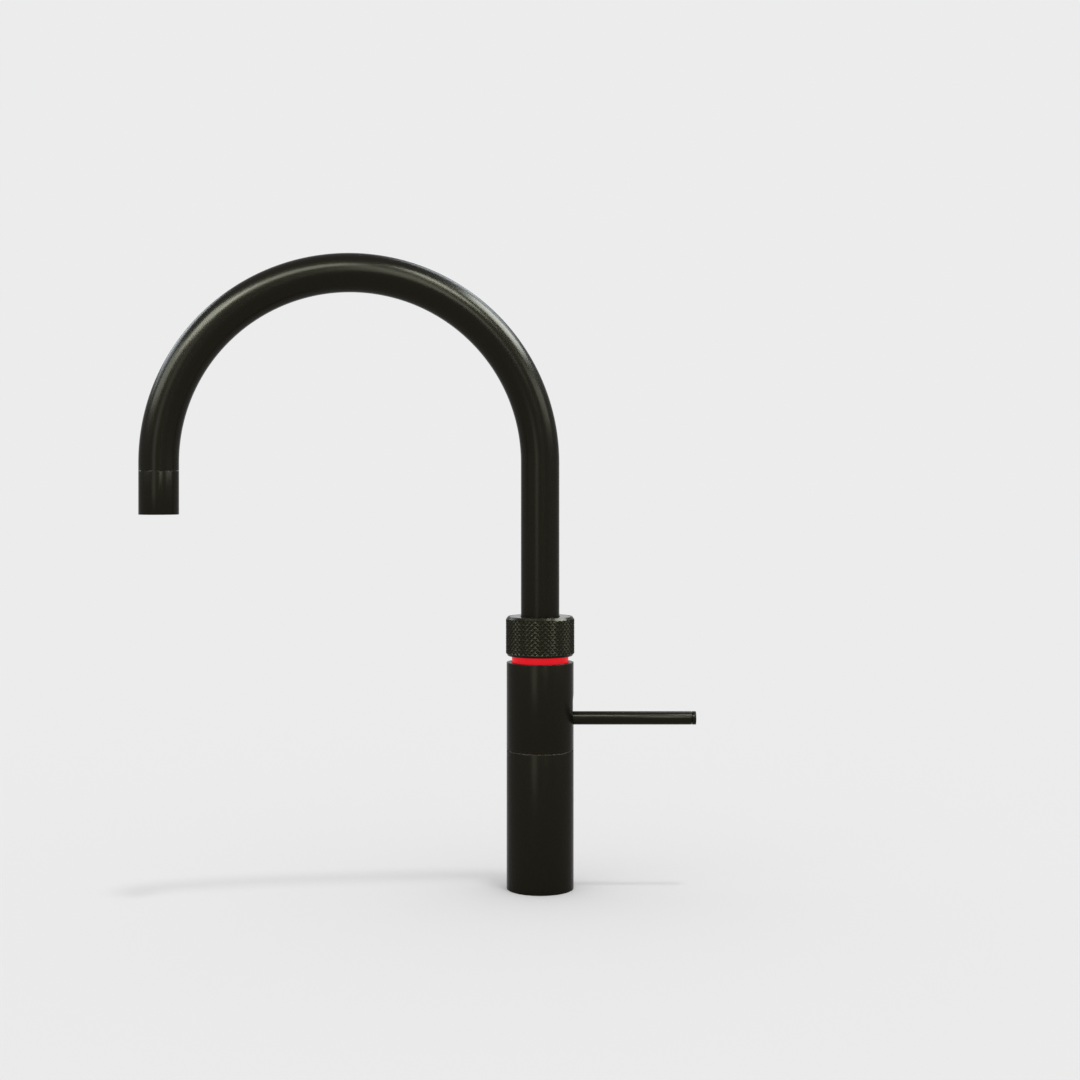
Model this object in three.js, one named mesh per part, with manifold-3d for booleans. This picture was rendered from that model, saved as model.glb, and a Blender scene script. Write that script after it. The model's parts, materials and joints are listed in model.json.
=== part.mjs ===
// Boiling water tap: a single-hole kitchen mixer with a swan-neck spout. A side lever gives mixed
// water; the knurled ring under the spout is pushed down and turned for boiling water.
//
// Millimetres, +Z up. The origin is the middle of the body's seating face on the worktop. The
// lever points along +X and the spout reaches towards -X, swung a little towards the user at -Y.

import * as THREE from 'three';
import { mergeVertices } from 'three/addons/utils/BufferGeometryUtils.js';
import Module from 'manifold-3d';

const wasm = await Module();
wasm.setup();

// ---------------------------------------------------------------------------------------------
// Driving dimensions
// ---------------------------------------------------------------------------------------------

// Fits
const seatGap = 0.3; // between pieces that rest on or in each other
const turnGap = 0.4; // between pieces that turn or slide on each other

// Body
const bodyRadius = 19.1;
const bodyWall = 1.7;
const bodyHeight = 128; // worktop to the top of the turning sleeve
const seamHeight = 78.4; // middle of the seam between lower body and sleeve
const seamWidth = 0.4;
const edgeChamfer = 0.3;
const floorFlange = 5; // floor of the lower body, which the shank pulls down
const sleeveWall = 1.6;
const sleeveFlange = 3.2; // inward flange at the sleeve's top
const sealWire = 1.4; // section of the O-ring under the body
const sealLand = 0.6; // flat foot outside the seal's groove
const glideInset = 0.9; // cover that the body's wall gives the white ring in the seam
const glideDepth = 1.5;

// Fixing under the worktop
const worktop = 30; // thickness that the clamp is drawn for
const shankRadius = 15;
const shankWall = 2;
const shankDrop = 52; // length below the seating face
const shankFlange = 4;
const shankLead = 1; // chamfer at the shank's end
const clampRadius = 24;
const gasketThickness = 3;
const washerThickness = 2;
const nutHeight = 10;
const nutAcrossFlats = 38;
const nutChamfer = 1.5;

// Core and its inlets
const blockHeight = 16; // solid part under the cartridge
const spigotLength = 6; // part of the core inside the shank
const portCircle = 7.5; // circle that the three inlets stand on
const nippleRadius = 3; // threaded end in the core
const nippleBore = 1.5;
const nippleThread = 11;
const collarHeight = 5;
const collarRadius = 4.6;
const tailLength = 17;
const barbPitch = 4.5;
const barbHeight = 0.5; // over the tail
const waterway = 2.2; // radius of the hot and cold ports
const riserBore = 1.5; // radius of the two risers in the core's back wall
const crossDepth = 3.5; // mixed water's crossing, below the block's top
const sumpDepth = 6.5; // space under the ferrule, below the core's shoulder
const sumpWall = 1; // step that keeps the sump narrower than the ferrule's bore
const socketDepth = 5.3; // socket of the boiling tube, below the sump
const socketFloor = 1; // boiling tube's foot above its feed

// Cartridge
const cartridgeRadius = 12.3;
const cartridgeWall = 1.6;
const cartridgeFloor = 3;
const fixedDisc = 3.7; // thickness
const movingDisc = 4; // thickness
const movingDiscRadius = 8;
const socketBlock = [10, 7, 3.6]; // block on the moving disc that takes the ball end
const ballRadius = 2.4;
const ballDip = 1; // ball below the disc's top
const pivotArm = 11; // pivot down to the ball's centre
const guideRise = 4.7; // pivot up to the top of the stem guide
const guideDrop = 6.5; // pivot down to its underside
const guideSlot = [12, 7.4];
const railThickness = 2.2;
const railLength = 14;
const mixingPocket = [8, 8, 1.6]; // hollow under the moving disc
const pocketShift = -2.5; // its middle, from the disc's
const cartridgeNut = 2.6; // thickness
const cartridgeNutBore = 7.4;
const pinRadius = 1.3;
const pinInset = 0.8; // pin's ends inside the stem guide

// Lever
const leverHeight = 96.3; // axis of the lever above the worktop
const leverReach = 88.1; // body axis to the lever's tip
const leverRadius = 3.78;
const leverRise = 16.3; // lever axis above its pivot
const leverTilt = 22; // degrees up from level
const leverTurn = 45; // degrees to each side
const capLength = 2.2;
const capSpigot = 4;
const capWall = 1; // rod's wall round the spigot
const windowRoom = 1; // core's window round the moving lever
const bossRadius = 5.6;
const bossEnds = [-4, 8]; // along the lever
const bossFloor = 2; // closed end behind the rod
const spindleNeck = 3.2; // radius
const stemRadius = 1.7;
const hubRadius = 4;
const setScrewRadius = 1.7;
const hexKey = [0.9, 0.7]; // radius and depth of its socket

// Light ring and the parts under it
const lightGap = 3.7; // height of the red band that shows
const lightRadius = 16.1;
const lightWall = 1.9;
const lightOverlap = 1.2; // lens inside the knurled ring
const boardThickness = 0.6;
const lampSize = [1.2, 1.6, 0.5];
const lampCount = 6;

// Knurled ring
const ringRadius = 19.5;
const ringHeight = 22.1;
const ringChamfer = 1.2;
const knurlDepth = 0.7;
const knurlColumns = 42; // diamonds round the ring
const knurlRows = 7; // diamonds from bottom to top
const pressTravel = 3;
const capThickness = 2.2;
const capEdge = 0.2; // its chamfer
const ringLip = 0.6; // wall round the cap at the top
const webThickness = 2.2;
const magnetThickness = 0.8;
const magnetLength = 4.9;
const magnetPlay = 0.2; // round the magnet in its pocket
const magnetHalfAngle = 14; // degrees
const circlipThickness = 0.8;
const circlipWidth = 1.8;
const circlipBite = 0.6; // depth of its groove
const circlipDepth = 1.5; // below the neck's top
const circlipPlay = 0.1;
const clipOpening = 20; // degrees
const springWire = 1; // diameter
const springTurns = 2.8;
const thrustWasher = 0.8; // thickness; it goes down with the ring but doesn't turn
const seatWasher = 0.8; // thickness of the spring seat

// Spout
const spoutRadius = 11;
const spoutWall = 1.2;
const arcRadius = 105.5; // centreline
const outletHeight = 212.1;
const spoutSwing = 9.7; // degrees towards the user at rest
const aeratorLength = 23.8;
const bushGrip = 4.6; // straight end of the tube, which holds the outlet's bush
const neckWall = 2.2; // core's neck round the ferrule
const neckClearance = 0.6; // cap over the neck when the ring is down
const slipWasher = 0.6; // thickness
const ferruleDepth = 23; // inside the neck
const ferruleRise = 16; // inside the spout tube
const ferruleBore = 6.9; // radius
const ferruleLead = [0.5, 1]; // chamfer at its foot
const oRingWire = 1.5;
const oRingRises = [4, 10]; // above the ferrule's foot
const snapRingDepth = 5; // below the neck's top
const snapBite = 0.3; // snap ring in the neck's groove
const snapGroove = 1; // depth in the ferrule
const boilingRadius = 3;
const boilingBore = 2;
const outletLip = [1.2, 0.8]; // reach and thickness
const insertHeight = 7.8;
const insertPlate = 4.3;
const insertWall = 1.2;
const nozzleWall = 1;
const outletGasket = [2.5, 1.5]; // width and thickness
const bushWall = 1.5;
const sprayHoles = 12;
const sprayHole = 0.8; // radius

// Facets
const bodySides = 26;
const coreSides = 20;
const innerSides = 16;
const smallSides = 8;
const spoutSteps = 20; // over the arc
const innerTubeSteps = 12;
const beyond = 1; // that a cutting tool runs past what it cuts

// ---------------------------------------------------------------------------------------------
// Levels and radii that follow
// ---------------------------------------------------------------------------------------------

const degree = Math.PI / 180;
const bodyBore = bodyRadius - bodyWall;
const coreRadius = bodyBore - seatGap;
const lowerTop = seamHeight - seamWidth / 2;
const sleeveBottom = seamHeight + seamWidth / 2;
const shankBore = shankRadius - shankWall;

// The lever sets the height of the cartridge under it.
const pivotHeight = leverHeight - leverRise;
const ballHeight = pivotHeight - pivotArm;
const movingTop = ballHeight - ballRadius + ballDip;
const movingBottom = movingTop - movingDisc;
const fixedBottom = movingBottom - seatGap - fixedDisc;
const cartridgeBottom = fixedBottom - seatGap - cartridgeFloor;
const blockTop = cartridgeBottom - seatGap;
const blockBottom = blockTop - blockHeight;
const spigotBottom = blockBottom - spigotLength;
const cartridgeBore = cartridgeRadius - cartridgeWall;
const guideRadius = cartridgeBore - seatGap;
const cartridgeTop = pivotHeight + guideRise + seatGap;
const cartridgeNutTop = cartridgeTop + seatGap + cartridgeNut;
const coreBore = cartridgeRadius + seatGap;
const discTravel = pivotArm * Math.sin(leverTilt * degree);

// Upper edge of the raised lever at a distance from the body's axis
function raisedLeverTop(x) {
  const tilt = leverTilt * degree;
  const along = (x + leverRise * Math.sin(tilt)) / Math.cos(tilt);
  return pivotHeight + along * Math.sin(tilt) + leverRise * Math.cos(tilt) + leverRadius / Math.cos(tilt);
}
const windowBottom = cartridgeNutTop + seatGap;
const windowTop = raisedLeverTop(coreRadius) + windowRoom;
const windowHalfAngle = leverTurn + Math.asin((leverRadius + windowRoom) / coreBore) / degree;

// The sleeve's flange hangs on the core's shoulder; the board and lens stand inside the flange.
const coreTop = bodyHeight - sleeveFlange - seatGap;
const ringBottom = bodyHeight + lightGap;
const ringTop = ringBottom + ringHeight;
const lensTop = ringBottom + lightOverlap;
const lensBore = lightRadius - lightWall;
const boardBottom = coreTop + seatGap;
const lensBottom = boardBottom + boardThickness + lampSize[2] + seatGap;
const seatBottom = lensTop + seatGap;
const seatTop = seatBottom + seatWasher;

// Neck of the core, with the ring's cap just over it when the ring is down
const neckTop = ringTop - capThickness - pressTravel - neckClearance;
const tubeBore = spoutRadius - spoutWall;
const neckBore = tubeBore;
const neckRadius = neckBore + neckWall;
const neckFoot = lensBore - seatGap;
const circlipTop = neckTop - circlipDepth;
const circlipBottom = circlipTop - circlipThickness;
const webTop = circlipBottom - seatGap - ringBottom; // from the ring's own bottom
const webBottom = webTop - webThickness;
const thrustTop = ringBottom + webBottom - seatGap;
const thrustBottom = thrustTop - thrustWasher;
const sumpBottom = coreTop - sumpDepth;
const socketBottom = sumpBottom - socketDepth;

// Spout, from the tube's lower end to the outlet
const washerBottom = neckTop + seatGap;
const tubeBottom = washerBottom + slipWasher + seatGap;
const ferruleBottom = neckTop - ferruleDepth;
const aeratorTop = outletHeight + aeratorLength;
const tubeEnd = aeratorTop + seatGap;
const arcCentre = aeratorTop + bushGrip; // height
const insertBottom = outletHeight + outletLip[1] + seatGap;
const insertTop = insertBottom + insertHeight;
const outletX = -2 * arcRadius;

// ---------------------------------------------------------------------------------------------
// Materials
// ---------------------------------------------------------------------------------------------

function finish(color, roughness, metalness) {
  return new THREE.MeshStandardMaterial({ color, roughness, metalness });
}
const satinBlack = finish(0x1e1c18, 0.42, 0.6);
const knurledBlack = finish(0x2a2921, 0.38, 0.7);
const redLens = finish(0xd01a28, 0.35, 0);
const brass = finish(0xb08d4a, 0.35, 1);
const steel = finish(0xb4b6b8, 0.3, 1);
const rubber = finish(0x17181a, 0.85, 0);
const ceramic = finish(0xeceae4, 0.25, 0);
const whitePolymer = finish(0xdcdcd4, 0.5, 0);
const greyPolymer = finish(0x4a4d50, 0.55, 0);
const boardGreen = finish(0x1f5a38, 0.5, 0);

// ---------------------------------------------------------------------------------------------
// Shapes
// ---------------------------------------------------------------------------------------------

// A closed geometry as a manifold-3d solid, and back
function toSolid(geometry) {
  const bare = geometry.clone();
  bare.deleteAttribute('normal');
  bare.deleteAttribute('uv');
  const merged = mergeVertices(bare, 1e-4);
  const index = merged.index.array;
  const triVerts = [];
  for (let i = 0; i < index.length; i += 3) {
    const [a, b, c] = [index[i], index[i + 1], index[i + 2]];
    if (a !== b && b !== c && c !== a) triVerts.push(a, b, c);
  }
  return new wasm.Manifold(new wasm.Mesh({
    numProp: 3,
    vertProperties: new Float32Array(merged.attributes.position.array),
    triVerts: new Uint32Array(triVerts),
  }));
}

function toGeometry(solid) {
  const mesh = solid.getMesh();
  const geometry = new THREE.BufferGeometry();
  geometry.setAttribute('position', new THREE.BufferAttribute(mesh.vertProperties, 3));
  geometry.setIndex(new THREE.BufferAttribute(mesh.triVerts, 1));
  return geometry;
}

function join(first, ...others) {
  return toGeometry(others.reduce((solid, other) => solid.add(toSolid(other)), toSolid(first)));
}

function cut(first, ...tools) {
  return toGeometry(tools.reduce((solid, tool) => solid.subtract(toSolid(tool)), toSolid(first)));
}

// A profile of [radius, height] pairs turned about Z, up its outer side and down its inner side
function revolve(profile, sides = innerSides) {
  const points = profile.map(([radius, height]) => new THREE.Vector2(radius, height));
  if (points[0].x > 0) points.push(points[0].clone());
  return new THREE.LatheGeometry(points, sides).rotateX(Math.PI / 2);
}

function disc(radius, bottom, top, sides = innerSides) {
  return revolve([[0, bottom], [radius, bottom], [radius, top], [0, top]], sides);
}

function ring(inner, outer, bottom, top, sides = innerSides) {
  return revolve([[inner, bottom], [outer, bottom], [outer, top], [inner, top]], sides);
}

// A round wire bent to a ring
function wireRing(middle, height, wire, sides = innerSides) {
  return new THREE.TorusGeometry(middle, wire / 2, 5, sides).translate(0, 0, height);
}

// A block over the origin, between two heights
function block(length, width, bottom, top) {
  return new THREE.BoxGeometry(length, width, top - bottom).translate(0, 0, (bottom + top) / 2);
}

function barAlongX(radius, from, to, sides = innerSides) {
  return new THREE.CylinderGeometry(radius, radius, to - from, sides)
    .rotateZ(Math.PI / 2).translate((from + to) / 2, 0, 0);
}

function barAlongY(radius, length, sides = smallSides) {
  return new THREE.CylinderGeometry(radius, radius, length, sides);
}

// A flat outline extruded upwards
function plate(shape, bottom, top, curveSegments = 6) {
  const geometry = new THREE.ExtrudeGeometry(shape, {
    depth: top - bottom,
    bevelEnabled: false,
    curveSegments,
  });
  return geometry.translate(0, 0, bottom);
}

// A piece of a ring between two angles, in degrees from +X
function arcOutline(inner, outer, from, to) {
  const shape = new THREE.Shape();
  shape.absarc(0, 0, outer, from * degree, to * degree, false);
  shape.absarc(0, 0, inner, to * degree, from * degree, true);
  shape.closePath();
  return shape;
}

// A ring with a gap in it, which opens at an angle
function openRing(inner, outer, angle) {
  return arcOutline(inner, outer, angle + clipOpening / 2, angle + 360 - clipOpening / 2);
}

// A drilling between two points
function drilling(from, to, radius, sides = 6) {
  const start = new THREE.Vector3(...from);
  const end = new THREE.Vector3(...to);
  const turn = new THREE.Quaternion()
    .setFromUnitVectors(new THREE.Vector3(0, 1, 0), end.clone().sub(start).normalize());
  return new THREE.CylinderGeometry(radius, radius, start.distanceTo(end), sides)
    .applyQuaternion(turn)
    .translate((start.x + end.x) / 2, (start.y + end.y) / 2, (start.z + end.z) / 2);
}

function onCircle(radius, angle, height) {
  return [radius * Math.cos(angle * degree), radius * Math.sin(angle * degree), height];
}

// The spout's centreline: up from a height, over the arc and down to a height. The arc takes all
// of the steps but the first and the last, which are the straight ends.
class Gooseneck extends THREE.Curve {
  constructor(from, to, arcSteps) {
    super();
    Object.assign(this, { from, to, arcSteps, steps: arcSteps + 2 });
  }

  getUtoTmapping(u) {
    return u;
  }

  angleAt(t) {
    return THREE.MathUtils.clamp((t * this.steps - 1) / this.arcSteps, 0, 1) * Math.PI;
  }

  getPoint(t, target = new THREE.Vector3()) {
    const angle = this.angleAt(t);
    const step = t * this.steps;
    const below = Math.max(1 - step, 0) * (arcCentre - this.from)
      + Math.max(step - this.arcSteps - 1, 0) * (arcCentre - this.to);
    return target.set(
      arcRadius * (Math.cos(angle) - 1),
      0,
      arcCentre + arcRadius * Math.sin(angle) - below,
    );
  }

  getTangent(t, target = new THREE.Vector3()) {
    const angle = this.angleAt(t);
    return target.set(-Math.sin(angle), 0, Math.cos(angle));
  }
}

// A pipe along the spout's centreline; the flats of its bore stand at the bore's radius
function bentPipe(curve, outer, bore, outerSides, boreSides) {
  const circle = (radius, sides) => Array.from({ length: sides }, (_, i) => new THREE.Vector2(
    radius * Math.cos((i * 2 * Math.PI) / sides),
    radius * Math.sin((i * 2 * Math.PI) / sides),
  ));
  const section = new THREE.Shape(circle(outer, outerSides));
  section.holes.push(new THREE.Path(circle(bore / Math.cos(Math.PI / boreSides), boreSides).reverse()));
  return new THREE.ExtrudeGeometry(section, {
    steps: curve.steps,
    extrudePath: curve,
    bevelEnabled: false,
    curveSegments: 1,
  });
}

class Helix extends THREE.Curve {
  constructor(radius, bottom, top, turns) {
    super();
    Object.assign(this, { radius, bottom, top, turns });
  }

  getPoint(t, target = new THREE.Vector3()) {
    const angle = t * this.turns * 2 * Math.PI;
    return target.set(
      this.radius * Math.cos(angle),
      this.radius * Math.sin(angle),
      this.bottom + t * (this.top - this.bottom),
    );
  }
}

function piece(parent, name, geometry, material) {
  const mesh = new THREE.Mesh(geometry, material);
  mesh.name = name;
  parent.add(mesh);
}

// ---------------------------------------------------------------------------------------------
// Lower body and its fixing
// ---------------------------------------------------------------------------------------------

const sealMiddle = bodyRadius - edgeChamfer - sealLand - seatGap - sealWire / 2;
const floorBore = shankRadius + seatGap;
const glideOuter = bodyRadius - glideInset;
const glideBottom = lowerTop - glideDepth;

function lowerBody() {
  const shell = revolve([
    [floorBore, 0],
    [bodyRadius - edgeChamfer, 0],
    [bodyRadius, edgeChamfer],
    [bodyRadius, lowerTop - edgeChamfer],
    [bodyRadius - edgeChamfer, lowerTop],
    [glideOuter + seatGap, lowerTop],
    [glideOuter + seatGap, glideBottom - seatGap],
    [bodyBore, glideBottom - seatGap],
    [bodyBore, floorFlange],
    [floorBore, floorFlange],
  ], bodySides);
  const half = sealWire / 2 + seatGap;
  const sealGroove = ring(sealMiddle - half, sealMiddle + half, -beyond, sealWire + seatGap, bodySides);
  return cut(shell, sealGroove);
}

function mountingShank() {
  const flangeBottom = floorFlange + seatGap;
  return revolve([
    [shankBore, -shankDrop],
    [shankRadius - shankLead, -shankDrop],
    [shankRadius, -shankDrop + shankLead],
    [shankRadius, flangeBottom],
    [coreRadius, flangeBottom],
    [coreRadius, flangeBottom + shankFlange],
    [shankRadius, flangeBottom + shankFlange],
    [shankRadius, blockBottom - seatGap],
    [shankBore, blockBottom - seatGap],
  ], coreSides);
}

function clampNut(bottom, top) {
  const acrossCorners = nutAcrossFlats / Math.cos(Math.PI / 6);
  const blank = new THREE.CylinderGeometry(acrossCorners / 2, acrossCorners / 2, top - bottom, 6)
    .rotateX(Math.PI / 2).translate(0, 0, (bottom + top) / 2);
  const rounding = revolve([
    [0, bottom],
    [nutAcrossFlats / 2, bottom],
    [acrossCorners / 2, bottom + nutChamfer],
    [acrossCorners / 2, top - nutChamfer],
    [nutAcrossFlats / 2, top],
    [0, top],
  ], 24);
  const rounded = toGeometry(toSolid(blank).intersect(toSolid(rounding)));
  return cut(rounded, disc(shankRadius + seatGap, bottom - beyond, top + beyond, coreSides));
}

// Threaded end, hexagon and hose tail with two barbs; its foot is at the height of its tail
function inletNipple() {
  const collarTop = spigotBottom - seatGap;
  const collarBottom = collarTop - collarHeight;
  const foot = collarBottom - tailLength;
  const tail = nippleRadius - barbHeight;
  const top = collarTop + nippleThread;
  const profile = [[0, foot], [tail - barbHeight, foot]];
  for (const level of [foot + (2 / 3) * barbPitch, foot + (5 / 3) * barbPitch]) {
    profile.push([nippleRadius, level], [tail, level]);
  }
  profile.push([tail, collarTop - 1], [nippleRadius, collarTop - 1], [nippleRadius, top], [0, top]);
  const hexagon = new THREE.CylinderGeometry(collarRadius, collarRadius, collarHeight, 6)
    .rotateX(Math.PI / 2).translate(0, 0, (collarBottom + collarTop) / 2);
  const bore = disc(nippleBore, foot - beyond, top + beyond, smallSides);
  return cut(join(revolve(profile, smallSides), hexagon), bore);
}

// ---------------------------------------------------------------------------------------------
// Core: spigot, block, cartridge well with the lever's window, top block and neck
// ---------------------------------------------------------------------------------------------

const portAngles = { cold_inlet: -53, hot_inlet: 53, boiling_inlet: 180 };
const outletPort = [-5.5, 0]; // mixed water leaves the cartridge here
const riserCircle = (coreBore + coreRadius) / 2;
const mixedRiser = 208; // degrees
const boilingRiser = 180;

function coreBody() {
  const body = revolve([
    [0, spigotBottom],
    [shankBore - seatGap, spigotBottom],
    [shankBore - seatGap, blockBottom],
    [coreRadius, blockBottom],
    [coreRadius, coreTop],
    [neckFoot, coreTop],
    [neckFoot, lensTop],
    [neckRadius, lensTop],
    [neckRadius, circlipBottom - circlipPlay],
    [neckRadius - circlipBite, circlipBottom - circlipPlay],
    [neckRadius - circlipBite, circlipTop + circlipPlay],
    [neckRadius, circlipTop + circlipPlay],
    [neckRadius, neckTop],
    [0, neckTop],
  ], coreSides);
  const well = disc(coreBore, blockTop, windowTop, coreSides);
  const neckSpace = revolve([
    [0, socketBottom],
    [boilingRadius + seatGap, socketBottom],
    [boilingRadius + seatGap, sumpBottom],
    [ferruleBore - sumpWall, sumpBottom],
    [ferruleBore - sumpWall, ferruleBottom - seatGap],
    [neckBore, ferruleBottom - seatGap],
    [neckBore, snapBottom - seatGap],
    [neckBore + snapBite + seatGap, snapBottom - seatGap],
    [neckBore + snapBite + seatGap, snapBottom + circlipThickness + seatGap],
    [neckBore, snapBottom + circlipThickness + seatGap],
    [neckBore, neckTop + beyond],
    [0, neckTop + beyond],
  ], coreSides);
  const wedge = arcOutline(beyond, coreRadius + 5 * beyond, -windowHalfAngle, windowHalfAngle);
  const window = plate(wedge, windowBottom, windowTop, 8);
  const threads = Object.values(portAngles).map((angle) => drilling(
    onCircle(portCircle, angle, spigotBottom - beyond),
    onCircle(portCircle, angle, spigotBottom + nippleThread),
    nippleRadius + seatGap,
    smallSides,
  ));
  const feeds = [portAngles.cold_inlet, portAngles.hot_inlet].map((angle) => drilling(
    onCircle(portCircle, angle, spigotBottom + nippleThread - beyond),
    onCircle(portCircle, angle, blockTop + beyond),
    waterway,
  ));
  return cut(body, well, neckSpace, window, ...threads, ...feeds, ...mixedWay(), ...boilingWay());
}

// Mixed water: out of the cartridge, across, up the back wall and into the space under the ferrule
function mixedWay() {
  const low = blockTop - crossDepth;
  const high = (sumpBottom + ferruleBottom) / 2;
  const foot = onCircle(riserCircle, mixedRiser, low - riserBore);
  const head = onCircle(riserCircle, mixedRiser, high + riserBore);
  return [
    drilling([...outletPort, blockTop + beyond], [...outletPort, low - riserBore], waterway),
    drilling([...outletPort, low], onCircle(riserCircle, mixedRiser, low), riserBore),
    drilling(foot, head, riserBore),
    drilling(onCircle(riserCircle, mixedRiser, high), [0, 0, high], riserBore),
  ];
}

// Boiling water: from its nipple across, up the back wall and into the socket of the inner tube
function boilingWay() {
  const low = spigotBottom + nippleThread + riserBore / 2;
  const high = socketBottom + riserBore + seatGap;
  const inlet = (height) => onCircle(portCircle, boilingRiser, height);
  const foot = onCircle(riserCircle, boilingRiser, low - riserBore);
  const head = onCircle(riserCircle, boilingRiser, high + riserBore);
  return [
    drilling(inlet(low - riserBore - beyond), inlet(low + riserBore), riserBore),
    drilling(inlet(low), onCircle(riserCircle, boilingRiser, low), riserBore),
    drilling(foot, head, riserBore),
    drilling(onCircle(riserCircle, boilingRiser, high), [0, 0, high], riserBore),
  ];
}

// ---------------------------------------------------------------------------------------------
// Cartridge
// ---------------------------------------------------------------------------------------------

// The three ports through the cartridge's floor and the fixed disc
function portHoles(bottom, top) {
  const inlets = [portAngles.cold_inlet, portAngles.hot_inlet].map((angle) => drilling(
    onCircle(portCircle, angle, bottom),
    onCircle(portCircle, angle, top),
    waterway,
  ));
  return [...inlets, drilling([...outletPort, bottom], [...outletPort, top], waterway)];
}

function cartridgeHousing() {
  const cup = revolve([
    [0, cartridgeBottom],
    [cartridgeRadius, cartridgeBottom],
    [cartridgeRadius, cartridgeTop],
    [cartridgeBore, cartridgeTop],
    [cartridgeBore, cartridgeBottom + cartridgeFloor],
    [0, cartridgeBottom + cartridgeFloor],
  ]);
  return cut(cup, ...portHoles(cartridgeBottom - beyond, cartridgeBottom + cartridgeFloor + beyond));
}

function cartridgeFixedDisc() {
  const blank = disc(guideRadius, fixedBottom, fixedBottom + fixedDisc);
  return cut(blank, ...portHoles(fixedBottom - beyond, fixedBottom + fixedDisc + beyond));
}

// The disc stands half its travel back, so that it is central at half flow
function cartridgeMovingDisc() {
  const [length, width, height] = socketBlock;
  const [pocketLength, pocketWidth, pocketDepth] = mixingPocket;
  const blank = disc(movingDiscRadius, movingBottom, movingTop).translate(-discTravel / 2, 0, 0);
  const carrier = block(length, width, movingTop - beyond, movingTop + height);
  const socket = disc(ballRadius + seatGap, ballHeight - ballRadius - seatGap, movingTop + height + beyond);
  const pocket = block(pocketLength, pocketWidth, movingBottom - beyond, movingBottom + pocketDepth);
  return cut(join(blank, carrier), socket, pocket.translate(pocketShift, 0, 0));
}

// Turns with the sleeve; its slot lets the spindle swing and its rails turn the moving disc
function stemGuide() {
  const [slotLength, slotWidth] = guideSlot;
  const bottom = pivotHeight - guideDrop;
  const top = pivotHeight + guideRise;
  const railMiddle = (socketBlock[1] + railThickness) / 2 + turnGap;
  const rails = [railMiddle, -railMiddle].map((y) => (
    block(railLength, railThickness, movingTop + seatGap, bottom + beyond).translate(0, y, 0)
  ));
  const body = join(disc(guideRadius, bottom, top), ...rails);
  const slot = block(slotLength, slotWidth, bottom - beyond, top + beyond);
  const pinHole = barAlongY(pinRadius + seatGap, 2 * (guideRadius + beyond)).translate(0, 0, pivotHeight);
  return cut(body, slot, pinHole);
}

// ---------------------------------------------------------------------------------------------
// Turning sleeve
// ---------------------------------------------------------------------------------------------

function mixerSleeve() {
  const bore = bodyRadius - sleeveWall;
  const flangeBore = lightRadius + seatGap;
  const shell = revolve([
    [bore, sleeveBottom],
    [bodyRadius - edgeChamfer, sleeveBottom],
    [bodyRadius, sleeveBottom + edgeChamfer],
    [bodyRadius, bodyHeight - edgeChamfer],
    [bodyRadius - edgeChamfer, bodyHeight],
    [flangeBore, bodyHeight],
    [flangeBore, bodyHeight - sleeveFlange],
    [bore, bodyHeight - sleeveFlange],
  ], bodySides);
  return cut(shell, leverSlot());
}

// A slot with round ends, from the level lever to the raised one, through the +X side
function leverSlot() {
  const half = leverRadius + turnGap;
  const slotTop = raisedLeverTop(bodyRadius) + turnGap - half;
  const outline = new THREE.Shape();
  outline.absarc(0, leverHeight, half, Math.PI, 2 * Math.PI, false);
  outline.absarc(0, slotTop, half, 0, Math.PI, false);
  outline.closePath();
  return plate(outline, 0, bodyRadius + beyond).rotateX(Math.PI / 2).rotateZ(Math.PI / 2);
}

// ---------------------------------------------------------------------------------------------
// Lever, drawn about its pivot
// ---------------------------------------------------------------------------------------------

const rodTip = leverReach - capLength - seatGap;
const rodFoot = bossEnds[0] + bossFloor;
const capBore = leverRadius - capWall;

function leverRod() {
  const rod = barAlongX(leverRadius, rodFoot, rodTip);
  return cut(rod, barAlongX(capBore, rodTip - capSpigot - seatGap, rodTip + beyond, smallSides))
    .translate(0, 0, leverRise);
}

function leverEndCap() {
  const outline = [
    [0, 0],
    [leverRadius - edgeChamfer, 0],
    [leverRadius, edgeChamfer],
    [leverRadius, capLength],
    [capBore - seatGap, capLength],
    [capBore - seatGap, capLength + capSpigot],
    [0, capLength + capSpigot],
  ];
  return revolve(outline).rotateY(-Math.PI / 2).translate(leverReach, 0, leverRise);
}

function leverSpindle() {
  const boss = barAlongX(bossRadius, ...bossEnds).translate(0, 0, leverRise);
  const neck = disc(spindleNeck, 0, leverRise - leverRadius, smallSides);
  const hub = barAlongY(hubRadius, guideSlot[1] - 2 * seatGap, innerSides);
  const stem = disc(stemRadius, -pivotArm, 0, smallSides);
  const ball = new THREE.SphereGeometry(ballRadius, smallSides, 6)
    .rotateX(Math.PI / 2).translate(0, 0, -pivotArm);
  const rodBore = barAlongX(leverRadius + seatGap, rodFoot - seatGap, bossEnds[1] + beyond)
    .translate(0, 0, leverRise);
  const pinBore = barAlongY(pinRadius + seatGap, guideSlot[1] + beyond);
  const screwHole = disc(setScrewRadius + seatGap, leverRise, leverRise + bossRadius + beyond, smallSides)
    .translate(bossEnds[1] / 2, 0, 0);
  return cut(join(boss, neck, hub, stem, ball), rodBore, pinBore, screwHole);
}

function leverSetScrew() {
  const bottom = leverRise + leverRadius + seatGap;
  const top = leverRise + bossRadius;
  const [keyRadius, keyDepth] = hexKey;
  const screw = disc(setScrewRadius, bottom, top, smallSides);
  return cut(screw, disc(keyRadius, top - keyDepth, top + beyond, 6)).translate(bossEnds[1] / 2, 0, 0);
}

// ---------------------------------------------------------------------------------------------
// Light ring and board
// ---------------------------------------------------------------------------------------------

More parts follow.
